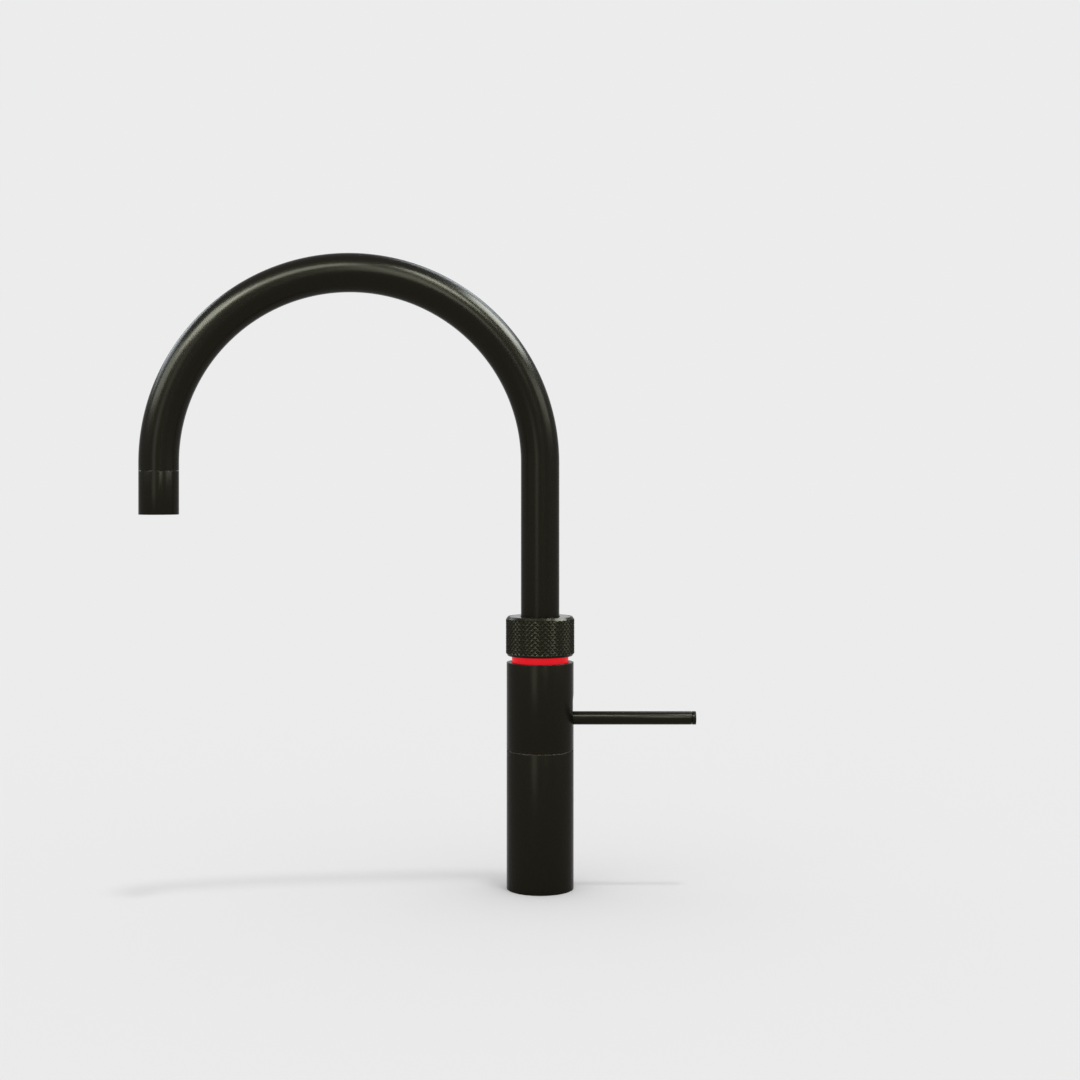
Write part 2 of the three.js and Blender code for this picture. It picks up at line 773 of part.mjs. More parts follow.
function ledBoard() {
  const top = boardBottom + boardThickness;
  const [depth, width, height] = lampSize;
  const lamps = Array.from({ length: lampCount }, (_, i) => (
    block(depth, width, top - boardThickness / 2, top + height)
      .translate((lensBore + lightRadius) / 2, 0, 0)
      .rotateZ((i * 2 * Math.PI) / lampCount)
  ));
  return join(ring(lensBore, lightRadius, boardBottom, top), ...lamps);
}

// ---------------------------------------------------------------------------------------------
// Knurled ring, drawn from its own bottom
// ---------------------------------------------------------------------------------------------

// The outside: a turned blank whose band is pressed into diamonds. Two facet columns and two
// facet rows make one diamond, and every second crossing stays high.
function knurledBlank() {
  const columns = 2 * knurlColumns;
  const rows = 2 * knurlRows;
  const bandHeight = ringHeight - 2 * ringChamfer;
  const profile = [new THREE.Vector2(0, 0), new THREE.Vector2(ringRadius - ringChamfer, 0)];
  const firstRow = profile.length;
  for (let row = 0; row <= rows; row += 1) {
    profile.push(new THREE.Vector2(ringRadius, ringChamfer + (row * bandHeight) / rows));
  }
  profile.push(new THREE.Vector2(ringRadius - ringChamfer, ringHeight), new THREE.Vector2(0, ringHeight));
  const blank = new THREE.LatheGeometry(profile, columns);
  const place = blank.attributes.position;
  const isLow = (column, row) => (column + row) % 2 === 1;
  const squeeze = (ringRadius - knurlDepth) / ringRadius;
  for (let column = 0; column <= columns; column += 1) {
    for (let row = 0; row <= rows; row += 1) {
      const vertex = column * profile.length + firstRow + row;
      if (isLow(column, row)) {
        place.setX(vertex, place.getX(vertex) * squeeze);
        place.setZ(vertex, place.getZ(vertex) * squeeze);
      }
    }
  }
  // Each facet square is split along its groove, so its two halves belong to two diamonds.
  const index = [];
  for (let column = 0; column < columns; column += 1) {
    for (let step = 0; step < profile.length - 1; step += 1) {
      const a = column * profile.length + step;
      const b = a + profile.length;
      const c = b + 1;
      const d = a + 1;
      if (isLow(column, step - firstRow)) index.push(a, b, c, a, c, d);
      else index.push(a, b, d, c, d, b);
    }
  }
  blank.setIndex(index);
  return blank.rotateX(Math.PI / 2);
}

const capRadius = ringRadius - ringChamfer - ringLip - seatGap;
const magnetMiddle = (lightRadius + turnGap + ringRadius - ringChamfer) / 2;

function knurledRing() {
  const capSeat = ringHeight - capThickness - seatGap;
  const inside = revolve([
    [0, -beyond],
    [lightRadius + turnGap, -beyond],
    [lightRadius + turnGap, webBottom],
    [neckRadius + turnGap, webBottom],
    [neckRadius + turnGap, webTop],
    [neckRadius + circlipWidth + turnGap, webTop],
    [neckRadius + circlipWidth + turnGap, capSeat],
    [capRadius + seatGap, capSeat],
    [capRadius + seatGap, ringHeight + beyond],
    [0, ringHeight + beyond],
  ], bodySides);
  return cut(knurledBlank(), inside, magnetBar(magnetPlay, -beyond, magnetLength + 2 * seatGap));
}

// The curved magnet in the ring's skirt, or with some play its pocket
function magnetBar(play, bottom, top) {
  const half = magnetThickness / 2 + play;
  const angle = magnetHalfAngle + play / magnetMiddle / degree;
  return plate(arcOutline(magnetMiddle - half, magnetMiddle + half, -angle, angle), bottom, top);
}

function knobCap() {
  const hole = spoutRadius + turnGap;
  return revolve([
    [hole, ringHeight - capThickness],
    [capRadius, ringHeight - capThickness],
    [capRadius, ringHeight - capEdge],
    [capRadius - capEdge, ringHeight],
    [hole, ringHeight],
  ], bodySides);
}

function returnSpring() {
  const radius = (neckRadius + lightRadius) / 2 + turnGap;
  const lift = springWire / 2 + seatGap;
  const helix = new Helix(radius, seatTop + lift, thrustBottom - lift, springTurns);
  const section = new THREE.Shape().absarc(0, 0, springWire / 2, 0, 2 * Math.PI);
  return new THREE.ExtrudeGeometry(section, {
    steps: Math.round(springTurns * smallSides),
    extrudePath: helix,
    bevelEnabled: false,
    curveSegments: 3,
  });
}

// ---------------------------------------------------------------------------------------------
// Spout, drawn with its outlet towards -X
// ---------------------------------------------------------------------------------------------

const snapBottom = neckTop - snapRingDepth;
const ferruleRadius = neckBore - seatGap;
const oRingHeights = oRingRises.map((rise) => ferruleBottom + rise);
const oRingMiddle = neckBore - seatGap / 2 - oRingWire / 2;

function spoutFerrule() {
  const half = oRingWire / 2 + seatGap;
  const groove = (floor, bottom, top) => [
    [ferruleRadius, bottom], [floor, bottom], [floor, top], [ferruleRadius, top],
  ];
  return revolve([
    [ferruleBore, ferruleBottom],
    [ferruleRadius - ferruleLead[0], ferruleBottom],
    [ferruleRadius, ferruleBottom + ferruleLead[1]],
    ...oRingHeights.flatMap((height) => groove(oRingMiddle - half, height - half, height + half)),
    ...groove(ferruleRadius - snapGroove, snapBottom - seatGap, snapBottom + circlipThickness + seatGap),
    [ferruleRadius, tubeBottom + ferruleRise],
    [ferruleBore, tubeBottom + ferruleRise],
  ]);
}

function aeratorSleeve() {
  const [reach, thickness] = outletLip;
  return revolve([
    [tubeBore - reach, outletHeight],
    [spoutRadius - edgeChamfer, outletHeight],
    [spoutRadius, outletHeight + edgeChamfer],
    [spoutRadius, aeratorTop - edgeChamfer / 2],
    [spoutRadius - edgeChamfer / 2, aeratorTop],
    [tubeBore, aeratorTop],
    [tubeBore, outletHeight + thickness],
    [tubeBore - reach, outletHeight + thickness],
  ], coreSides);
}

// A plate of spray holes round the boiling water's nozzle, in a collar
function aeratorInsert() {
  const radius = tubeBore - seatGap;
  const rise = insertBottom + insertPlate;
  const sprayCircle = (boilingRadius + nozzleWall + radius - insertWall) / 2;
  const cup = revolve([
    [boilingBore, insertBottom],
    [radius, insertBottom],
    [radius, insertTop],
    [radius - insertWall, insertTop],
    [radius - insertWall, rise],
    [boilingRadius + seatGap + nozzleWall, rise],
    [boilingRadius + seatGap + nozzleWall, insertTop],
    [boilingRadius + seatGap, insertTop],
    [boilingRadius + seatGap, rise],
    [boilingBore, rise],
  ]);
  const sprays = Array.from({ length: sprayHoles }, (_, i) => {
    const angle = (i * 360) / sprayHoles;
    return drilling(
      onCircle(sprayCircle, angle, insertBottom - beyond),
      onCircle(sprayCircle, angle, rise + beyond),
      sprayHole,
      5,
    );
  });
  return cut(cup, ...sprays);
}

// ---------------------------------------------------------------------------------------------
// Assembly
// ---------------------------------------------------------------------------------------------

const tap = new THREE.Group();

function addFixing() {
  const gasketBottom = -worktop - gasketThickness;
  const washerTop = gasketBottom - seatGap;
  const nutTop = washerTop - washerThickness - seatGap;
  const hole = shankRadius + seatGap;
  piece(tap, 'lower_body', lowerBody(), satinBlack);
  piece(tap, 'base_seal', wireRing(sealMiddle, sealWire / 2, sealWire, coreSides), rubber);
  piece(tap, 'mounting_shank', mountingShank(), brass);
  piece(tap, 'clamp_gasket', ring(hole, clampRadius, gasketBottom, -worktop), rubber);
  piece(tap, 'clamp_washer', ring(hole, clampRadius, washerTop - washerThickness, washerTop), steel);
  piece(tap, 'clamp_nut', clampNut(nutTop - nutHeight, nutTop), brass);
  for (const [name, angle] of Object.entries(portAngles)) {
    const [x, y] = onCircle(portCircle, angle, 0);
    piece(tap, name, inletNipple().translate(x, y, 0), brass);
  }
}

function addCore() {
  piece(tap, 'core_body', coreBody(), brass);
  piece(tap, 'cartridge_housing', cartridgeHousing(), greyPolymer);
  piece(tap, 'cartridge_fixed_disc', cartridgeFixedDisc(), ceramic);
  const nut = ring(cartridgeNutBore, cartridgeRadius, cartridgeTop + seatGap, cartridgeNutTop);
  piece(tap, 'cartridge_nut', nut, brass);
  const glide = ring(bodyBore, glideOuter, glideBottom, sleeveBottom - seatGap, bodySides);
  piece(tap, 'sleeve_glide_ring', glide, whitePolymer);
}

function addMixer() {
  piece(tap, 'mixer_sleeve', mixerSleeve(), satinBlack);
  piece(tap, 'stem_guide', stemGuide(), whitePolymer);
  const pinLength = 2 * (guideRadius - pinInset);
  piece(tap, 'pivot_pin', barAlongY(pinRadius, pinLength).translate(0, 0, pivotHeight), steel);
  piece(tap, 'cartridge_moving_disc', cartridgeMovingDisc(), ceramic);
  const lever = new THREE.Group();
  lever.position.z = pivotHeight;
  tap.add(lever);
  piece(lever, 'lever_spindle', leverSpindle(), steel);
  piece(lever, 'lever_rod', leverRod(), satinBlack);
  piece(lever, 'lever_end_cap', leverEndCap(), satinBlack);
  piece(lever, 'lever_set_screw', leverSetScrew(), steel);
}

function addBoilingControl() {
  piece(tap, 'led_board', ledBoard(), boardGreen);
  piece(tap, 'light_ring', ring(lensBore, lightRadius, lensBottom, lensTop, bodySides), redLens);
  piece(tap, 'spring_seat', ring(neckRadius + seatGap, lightRadius, seatBottom, seatTop), steel);
  piece(tap, 'return_spring', returnSpring(), steel);
  const clip = openRing(neckRadius - circlipBite + seatGap, neckRadius + circlipWidth, 90);
  piece(tap, 'ring_circlip', plate(clip, circlipBottom, circlipTop, 8), steel);
  const washer = ring(neckRadius + turnGap, lightRadius, thrustBottom, thrustTop);
  piece(tap, 'thrust_washer', washer, steel);
  const knob = new THREE.Group();
  knob.position.z = ringBottom;
  tap.add(knob);
  piece(knob, 'knurled_ring', knurledRing(), knurledBlack);
  piece(knob, 'knob_cap', knobCap(), satinBlack);
  piece(knob, 'sensor_magnet', magnetBar(0, seatGap, seatGap + magnetLength), steel);
}

function addSpout() {
  const spout = new THREE.Group();
  spout.rotation.z = spoutSwing * degree;
  tap.add(spout);
  const slip = ring(neckBore + seatGap, spoutRadius, washerBottom, washerBottom + slipWasher);
  piece(tap, 'spout_slip_washer', slip, whitePolymer);
  const neck = new Gooseneck(tubeBottom, tubeEnd, spoutSteps);
  piece(spout, 'spout_tube', bentPipe(neck, spoutRadius, tubeBore, coreSides, smallSides), satinBlack);
  piece(spout, 'spout_ferrule', spoutFerrule(), brass);
  const [low, high] = oRingHeights;
  piece(spout, 'ferrule_o_ring_lower', wireRing(oRingMiddle, low, oRingWire), rubber);
  piece(spout, 'ferrule_o_ring_upper', wireRing(oRingMiddle, high, oRingWire), rubber);
  const snap = openRing(ferruleRadius - snapGroove + seatGap, neckBore + snapBite, 0);
  piece(spout, 'spout_snap_ring', plate(snap, snapBottom, snapBottom + circlipThickness, 8), steel);
  const boilingFoot = socketBottom + 2 * riserBore + socketFloor;
  const boilingEnd = insertBottom + insertPlate + seatGap;
  const inner = new Gooseneck(boilingFoot, boilingEnd, innerTubeSteps);
  const innerPipe = bentPipe(inner, boilingRadius, boilingBore, smallSides, 5);
  piece(spout, 'inner_boiling_tube', innerPipe, whitePolymer);

  const outlet = new THREE.Group();
  outlet.position.x = outletX;
  spout.add(outlet);
  const [gasketWidth, gasketHeight] = outletGasket;
  const gasketTop = insertTop + seatGap + gasketHeight;
  const seatRadius = tubeBore - seatGap;
  piece(outlet, 'aerator_sleeve', aeratorSleeve(), satinBlack);
  piece(outlet, 'aerator_insert', aeratorInsert(), greyPolymer);
  const gasket = ring(seatRadius - gasketWidth, seatRadius, insertTop + seatGap, gasketTop);
  piece(outlet, 'aerator_washer', gasket, rubber);
  const bush = ring(seatRadius - bushWall, seatRadius, gasketTop + seatGap, arcCentre - seatGap);
  piece(outlet, 'outlet_bush', bush, brass);
}

addFixing();
addCore();
addMixer();
addBoilingControl();
addSpout();

export default tap;
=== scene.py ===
# %% [markdown]
# # A black boiling water tap
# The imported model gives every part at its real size. This script gives the parts their finish, and
# models again, smooth and fine, each part that the eye meets. The body stands on a pale floor and
# the camera looks from where the photographer stood.

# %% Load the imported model
import json
import math

import bmesh
import bpy
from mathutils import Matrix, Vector


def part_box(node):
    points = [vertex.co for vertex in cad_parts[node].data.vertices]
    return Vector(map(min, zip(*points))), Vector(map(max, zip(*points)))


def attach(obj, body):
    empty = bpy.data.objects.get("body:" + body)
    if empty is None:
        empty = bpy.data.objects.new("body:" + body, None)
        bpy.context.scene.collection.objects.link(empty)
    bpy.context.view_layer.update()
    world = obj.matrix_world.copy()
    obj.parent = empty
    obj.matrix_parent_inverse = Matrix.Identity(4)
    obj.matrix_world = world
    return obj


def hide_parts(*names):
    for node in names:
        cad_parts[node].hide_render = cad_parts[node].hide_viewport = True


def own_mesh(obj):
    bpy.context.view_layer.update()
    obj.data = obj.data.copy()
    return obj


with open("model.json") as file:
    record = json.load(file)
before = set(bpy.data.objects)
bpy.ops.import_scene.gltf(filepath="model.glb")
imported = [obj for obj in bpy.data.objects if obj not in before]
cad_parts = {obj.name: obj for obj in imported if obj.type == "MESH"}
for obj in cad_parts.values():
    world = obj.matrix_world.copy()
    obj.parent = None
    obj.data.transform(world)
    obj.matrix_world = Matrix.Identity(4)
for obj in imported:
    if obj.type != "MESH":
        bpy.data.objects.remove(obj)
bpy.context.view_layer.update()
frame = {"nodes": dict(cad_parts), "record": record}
scene = bpy.context.scene
scene.view_settings.view_transform = "Standard"
mm = 0.001
print("nodes in the model:", len(frame["nodes"]))

# %% [markdown]
# ## Camera
# The uprights of the photograph are parallel, so the camera is level. It was framed by shifting the
# lens and not by tilting it. The ellipses of the spout's end, the ring and the foot give its height.

# %% The photographer's camera
camera_data = bpy.data.cameras.new("camera")
camera_data.lens = 57.23
camera_data.sensor_width = 36
camera_data.shift_y = -60.7 / 1080
camera = bpy.data.objects.new("camera", camera_data)
camera.location = (-0.08 * mm, -0.9717, 0.2313)
camera.rotation_euler = (math.radians(90), 0, 0)
scene.collection.objects.link(camera)
scene.camera = camera

# %% [markdown]
# ## Measures from the model
# Every piece takes its size from the part that it stands for, so nothing has to be fitted by hand.


# %% Radii and heights of a node
def radius_of(node):
    low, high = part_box(node)
    return (high.x - low.x) / 2


def heights_of(node):
    low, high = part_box(node)
    return low.z, high.z


Z = Vector((0, 0, 1))
X = Vector((1, 0, 0))
clearance = 0.3 * mm
hair = 1e-5
weld = 1e-6
body_radius = radius_of("lower_body")
body_foot, body_top = heights_of("lower_body")
sleeve_foot, sleeve_top = heights_of("mixer_sleeve")
ring_foot, ring_top = heights_of("knurled_ring")
print("body", round(2 * body_radius / mm, 2), "mm across")

outlet_low, outlet_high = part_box("aerator_sleeve")
outlet = Vector(((outlet_low.x + outlet_high.x) / 2, (outlet_low.y + outlet_high.y) / 2, 0))
reach = outlet.length
towards_outlet = outlet.normalized()
print("spout reaches", round(reach / mm, 1), "mm")

# %% [markdown]
# ## Turned parts
# Nearly every part of a tap comes off a lathe. A turner thinks in a half section, and so does this
# helper: it draws the section as a chain of vertices, rounds its corners, and spins it round its
# axis. Spinning gives clean rings, where a stretched cylinder would need a cut for every step.


# %% Draw a section and spin it
def edit_new_vertex(name, point):
    bpy.ops.object.select_all(action="DESELECT")
    bpy.ops.mesh.primitive_plane_add(size=mm, location=point)
    piece = bpy.context.object
    piece.name = piece.data.name = name
    bpy.ops.object.mode_set(mode="EDIT")
    bpy.ops.mesh.select_mode(type="VERT")
    bpy.ops.mesh.select_all(action="SELECT")
    bpy.ops.mesh.merge(type="CENTER")
    return piece


def finish_edit(piece, smooth_angle=32):
    """Leave edit mode, put the place into the mesh and shade it smooth up to sharp corners"""
    bpy.ops.object.mode_set(mode="OBJECT")
    bpy.ops.object.transform_apply(location=True, rotation=True, scale=True)
    bpy.ops.object.shade_smooth_by_angle(angle=math.radians(smooth_angle))
    return piece


def shade_again(piece, smooth_angle=32):
    """After a cut or a new wall, smooth shading is worked out anew for the edges that it made"""
    bpy.ops.object.select_all(action="DESELECT")
    piece.select_set(True)
    bpy.context.view_layer.objects.active = piece
    bpy.ops.object.shade_smooth_by_angle(angle=math.radians(smooth_angle))


def turned(name, section, foot=Vector(), along=Z, out=X, sides=128, rounding=0.0):
    """A closed section of (radius, distance along the axis) pairs, turned round that axis"""
    points = [foot + out * radius + along * rise for radius, rise in section]
    piece = edit_new_vertex(name, points[0])
    for here, there in zip(points, points[1:]):
        bpy.ops.mesh.extrude_vertices_move(TRANSFORM_OT_translate={"value": there - here})
    bpy.ops.mesh.select_all(action="SELECT")
    chain = bmesh.from_edit_mesh(piece.data)
    for vertex in chain.verts:
        vertex.select = len(vertex.link_edges) == 1
    chain.select_flush_mode()
    bpy.ops.mesh.edge_face_add()
    bpy.ops.mesh.select_all(action="SELECT")
    if rounding:
        bpy.ops.mesh.bevel(offset=rounding, segments=3, affect="VERTICES")
        bpy.ops.mesh.select_all(action="SELECT")
    bpy.ops.mesh.spin(steps=sides, angle=math.tau, center=foot, axis=along)
    bpy.ops.mesh.select_all(action="SELECT")
    bpy.ops.mesh.remove_doubles(threshold=weld)
    bpy.ops.mesh.normals_make_consistent(inside=False)
    return finish_edit(piece)


def ring_section(inner, outer, bottom, top):
    return [(inner, bottom), (outer, bottom), (outer, top), (inner, top)]


def stand_for(piece, node, body, finish):
    """The piece takes the place of a CAD node: its body and its finish"""
    piece.data.materials.clear()
    piece.data.materials.append(finish)
    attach(piece, body)
    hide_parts(node)


slot_of = {part["node"]: part["material_slot"] for part in frame["record"]["subparts"]}

# %% [markdown]
# ## Finishes
# Each finish is a Principled shader with a little unevenness from noise on Object coordinates. The
# coat is nearly black and slightly warm. It lies half way between a lacquer and a dark metal, which
# keeps its gloss even: a lacquer alone would turn white at the edges of the tubes, so the tint of
# its edges is dark as well.


# %% A noise that drives roughness, colour and bump
def coated(
    name,
    colour,
    roughness,
    metallic=0.0,
    specular=0.5,
    edge=1.0,
    grain=900.0,
    bump=0.08,
    spread=0.06,
):
    material = bpy.data.materials.new(name)
    material.use_nodes = True
    nodes, links = material.node_tree.nodes, material.node_tree.links
    shader = nodes["Principled BSDF"]
    shader.inputs["Metallic"].default_value = metallic
    shader.inputs["Specular IOR Level"].default_value = specular
    shader.inputs["Specular Tint"].default_value = (edge, edge, edge, 1)
    place = nodes.new("ShaderNodeTexCoord")
    noise = nodes.new("ShaderNodeTexNoise")
    noise.inputs["Scale"].default_value = grain
    noise.inputs["Detail"].default_value = 3.0
    links.new(place.outputs["Object"], noise.inputs["Vector"])

    level = nodes.new("ShaderNodeMapRange")
    level.inputs["To Min"].default_value = roughness - spread
    level.inputs["To Max"].default_value = roughness + spread
    links.new(noise.outputs["Fac"], level.inputs["Value"])
    links.new(level.outputs["Result"], shader.inputs["Roughness"])

    ramp = nodes.new("ShaderNodeValToRGB")
    ramp.color_ramp.elements[0].position = 0.3
    ramp.color_ramp.elements[1].position = 0.7
    ramp.color_ramp.elements[0].color = (*[0.88 * c for c in colour], 1)
    ramp.color_ramp.elements[1].color = (*[min(1.12 * c, 1) for c in colour], 1)
    links.new(noise.outputs["Fac"], ramp.inputs["Fac"])
    links.new(ramp.outputs["Color"], shader.inputs["Base Color"])

    relief = nodes.new("ShaderNodeBump")
    relief.inputs["Strength"].default_value = bump
    relief.inputs["Distance"].default_value = 0.05 * mm
    links.new(noise.outputs["Fac"], relief.inputs["Height"])
    links.new(relief.outputs["Normal"], shader.inputs["Normal"])
    return material


def linear(red, green, blue):
    """A colour as an eye reads it on a screen, 0 to 255, in the linear values that a shader takes"""
    def channel(value):
        share = value / 255
        return share / 12.92 if share <= 0.04045 else ((share + 0.055) / 1.055) ** 2.4
    return channel(red), channel(green), channel(blue)


satin_black = coated(
    "satin_black",
    linear(30, 28, 21),
    0.24,
    metallic=0.5,
    specular=0.12,
    edge=0.4,
    grain=1400,
    bump=0.015,
    spread=0.02,
)
knurled_black = coated(
    "knurled_black",
    linear(31, 29, 20),
    0.25,
    metallic=0.4,
    specular=0.08,
    edge=0.4,
    grain=2200,
    bump=0.03,
    spread=0.03,
)
cap_black = coated("cap_black", linear(27, 26, 20), 0.2, specular=0.3, grain=1400, bump=0.02, spread=0.02)
brass = coated("brass", linear(190, 152, 84), 0.3, metallic=1.0, grain=600)
steel = coated("steel", linear(186, 188, 190), 0.28, metallic=1.0, grain=700)
rubber = coated("rubber", linear(34, 34, 36), 0.75, specular=0.3, grain=1200, bump=0.2)
ceramic = coated("ceramic", linear(236, 233, 226), 0.2, grain=300, bump=0.01)
white_polymer = coated("white_polymer", linear(222, 221, 214), 0.45, grain=500)
grey_polymer = coated("grey_polymer", linear(84, 87, 90), 0.5, grain=800)
board_green = coated("board_green", linear(44, 104, 70), 0.45, grain=400)
finish_of = {
    "satin_black": satin_black,
    "knurled_black": knurled_black,
    "brass": brass,
    "steel": steel,
    "rubber": rubber,
    "ceramic": ceramic,
    "white_polymer": white_polymer,
    "grey_polymer": grey_polymer,
    "board_green": board_green,
}

# %% [markdown]
# The light ring is a red lens lit from inside. Most of its colour is its own light, evened out by
# the milky plastic, and a thin gloss lies over it. The bush in the end of the spout is brass, but it
# shows only as the seam over the outlet, where it lies in shade, so it takes the coat's black as painted
# shade.

# %% The lit lens
red_lens = coated("red_lens", linear(170, 10, 20), 0.4, specular=0.08, grain=200, bump=0.01)
lens_shader = red_lens.node_tree.nodes["Principled BSDF"]
lens_shader.inputs["Emission Color"].default_value = (*linear(212, 18, 30), 1)
lens_shader.inputs["Emission Strength"].default_value = 0.75
finish_of["red_lens"] = red_lens

for node, thing in frame["nodes"].items():
    thing.data.materials.clear()
    thing.data.materials.append(finish_of[slot_of[node]])
# The brass outlet bush takes the coat's black: painted shade for the dark seam at the spout's end.
frame["nodes"]["outlet_bush"].data.materials[0] = satin_black
print("finishes:", sorted(finish_of))

# %% [markdown]
# ## Body
# The body is two tubes, one over the other. The lower one stands on the worktop and the upper one
# turns with the lever. Between them is a hairline seam, which catches the light on its two tiny
# rounded corners, so the corners are rounded in the section and not left sharp. A groove in the
# foot holds the seal.

# %% Lower body
wall = 1.7 * mm
shank_radius = 15 * mm
floor_bore = radius_of("mounting_shank")
floor_thickness = 5 * mm
groove_inner, groove_outer, groove_depth = 16.2 * mm, 18.2 * mm, 1.7 * mm
rebate = radius_of("sleeve_glide_ring") + clearance
rebate_foot = heights_of("sleeve_glide_ring")[0] - clearance
body_section = [
    (shank_radius + clearance, body_foot),
    (groove_inner, body_foot),
    (groove_inner, body_foot + groove_depth),
    (groove_outer, body_foot + groove_depth),
    (groove_outer, body_foot),
    (body_radius, body_foot),
    (body_radius, body_top),
    (rebate, body_top),
    (rebate, rebate_foot),
    (body_radius - wall, rebate_foot),
    (body_radius - wall, floor_thickness),
    (shank_radius + clearance, floor_thickness),
]
lower_body = turned("lower_body_tube", body_section, rounding=0.22 * mm)
stand_for(lower_body, "lower_body", "tap_body", satin_black)

glide = ring_section(body_radius - wall, radius_of("sleeve_glide_ring"), *heights_of("sleeve_glide_ring"))
seam_grey = coated("seam_grey", linear(120, 114, 104), 0.5)
glide_ring = turned("seam_glide_ring", glide, rounding=0.1 * mm)
stand_for(glide_ring, "sleeve_glide_ring", "tap_body", seam_grey)

# %% [markdown]
# ## Turning sleeve
# The sleeve is turned like the body, and the lever's slot is milled into it afterwards, as the
# machinist does: a round-ended cutter goes through the wall. A boolean modifier is that cutter.
# A bevel on the sharp edges alone then breaks the slot's rim.

# %% Sleeve and slot
lens_radius = radius_of("light_ring")
flange = 3.2 * mm
sleeve_bore = body_radius - wall + 0.1 * mm
sleeve_section = [
    (sleeve_bore, sleeve_foot),
    (body_radius, sleeve_foot),
    (body_radius, sleeve_top),
    (lens_radius + clearance, sleeve_top),
    (lens_radius + clearance, sleeve_top - flange),
    (sleeve_bore, sleeve_top - flange),
]
sleeve = turned("mixer_sleeve_tube", sleeve_section, rounding=0.22 * mm)

rod_low, rod_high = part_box("lever_rod")
rod_radius = (rod_high.z - rod_low.z) / 2
rod_height = (rod_high.z + rod_low.z) / 2
lever_play = 0.4 * mm
slot_half = rod_radius + lever_play
slot_top = 109.75 * mm
cutter_length = 12 * mm
slot_end = slot_top - slot_half


def milling_cutter(height):
    bpy.ops.object.select_all(action="DESELECT")
    bpy.ops.mesh.primitive_cylinder_add(
        vertices=48,
        radius=slot_half,
        depth=cutter_length,
        location=(body_radius, 0, height),
        rotation=(0, math.radians(90), 0),
    )
    return bpy.context.object


def cut_away(piece, cutter, operation="DIFFERENCE"):
    bpy.context.view_layer.objects.active = piece
    modifier = piece.modifiers.new("cut", "BOOLEAN")
    modifier.operation = operation
    modifier.object = cutter
    modifier.solver = "EXACT"
    bpy.ops.object.modifier_apply(modifier=modifier.name)
    bpy.data.objects.remove(cutter)


def soften(piece, width, sharper_than):
    """Break the edges that are sharper than an angle, and shade the piece again"""
    rim = piece.modifiers.new("rim", "BEVEL")
    rim.width = width
    rim.segments = 2
    rim.limit_method = "ANGLE"
    rim.angle_limit = math.radians(sharper_than)
    bpy.context.view_layer.objects.active = piece
    bpy.ops.object.modifier_apply(modifier=rim.name)
    shade_again(piece)


cut_away(sleeve, milling_cutter(rod_height))
cut_away(sleeve, milling_cutter(slot_end))
bpy.ops.object.select_all(action="DESELECT")
bpy.ops.mesh.primitive_cube_add(size=1, location=(body_radius, 0, (rod_height + slot_end) / 2))
middle_cutter = bpy.context.object
middle_cutter.scale = (cutter_length, 2 * slot_half, slot_end - rod_height)
bpy.ops.object.transform_apply(location=True, rotation=True, scale=True)
cut_away(sleeve, middle_cutter)
soften(sleeve, 0.15 * mm, 50)
stand_for(sleeve, "mixer_sleeve", "mixer", satin_black)

# %% [markdown]
# ## Lever
# The lever is a plain rod with a separate end cap. The joint between them is a dark hairline, so
# the two are modelled apart and keep their gap.

# %% Rod and end cap
cap_low, cap_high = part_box("lever_end_cap")
axis_foot = Vector((0, 0, rod_height))
cap_length = 2.2 * mm
socket_wall = 1 * mm
socket_end = rod_high.x - 4.3 * mm
rod_centre = 0.2 * mm
rod_section = [
    (rod_centre, rod_low.x),
    (rod_radius, rod_low.x),
    (rod_radius, rod_high.x),
    (rod_radius - socket_wall, rod_high.x),
    (rod_radius - socket_wall, socket_end),
    (rod_centre, socket_end),
]
lever_rod = turned(
    "lever_bar", rod_section, foot=axis_foot, along=X, out=Z, sides=64, rounding=0.12 * mm
)
stand_for(lever_rod, "lever_rod", "lever", satin_black)
cap_centre = 0.1 * mm
spigot = rod_radius - 1.3 * mm
cap_section = [
    (cap_centre, cap_low.x),
    (spigot, cap_low.x),
    (spigot, cap_high.x - cap_length),
    (rod_radius, cap_high.x - cap_length),
    (rod_radius, cap_high.x),
    (cap_centre, cap_high.x),
]
lever_cap = turned(
    "lever_tip", cap_section, foot=axis_foot, along=X, out=Z, sides=64, rounding=0.2 * mm
)
stand_for(lever_cap, "lever_end_cap", "lever", satin_black)

# %% [markdown]
# ## Light ring
# A plain ring of lens, of which only the band between sleeve and knurled ring shows.

# %% Lens
lens_wall = 1.9 * mm
lens_foot, lens_top = heights_of("light_ring")
lens_section = ring_section(lens_radius - lens_wall, lens_radius, lens_foot, lens_top)
lens = turned("red_light_lens", lens_section, rounding=0.2 * mm)
stand_for(lens, "light_ring", "tap_body", red_lens)

# %% [markdown]
# ## Knurled ring
# A knurling wheel presses two sets of slanting grooves into the ring, and the metal between them
# stands up as little pyramids. The same comes out of two pokes: the band's squares are poked flat,
# their old edges dissolve, which leaves diamonds on their points, and a second poke lifts each
# diamond's middle. The lift is small, so the knurl is shallow and catches little light.

# %% Blank with a band of squares
knurl_round = 42
knurl_high = 7
knurl_depth = 0.4 * mm
ring_radius = radius_of("knurled_ring")
ring_chamfer = 1.2 * mm
root_radius = ring_radius - knurl_depth
band_foot = ring_foot + ring_chamfer
band_top = ring_top - ring_chamfer

bpy.ops.object.select_all(action="DESELECT")
bpy.ops.mesh.primitive_cylinder_add(
    vertices=knurl_round,
    radius=root_radius,
    depth=band_top - band_foot,
    end_fill_type="NOTHING",
    location=(0, 0, (band_foot + band_top) / 2),
)
knurl = bpy.context.object
knurl.name = knurl.data.name = "knurled_grip"
bpy.ops.object.transform_apply(location=True, rotation=True, scale=True)
bpy.ops.object.mode_set(mode="EDIT")


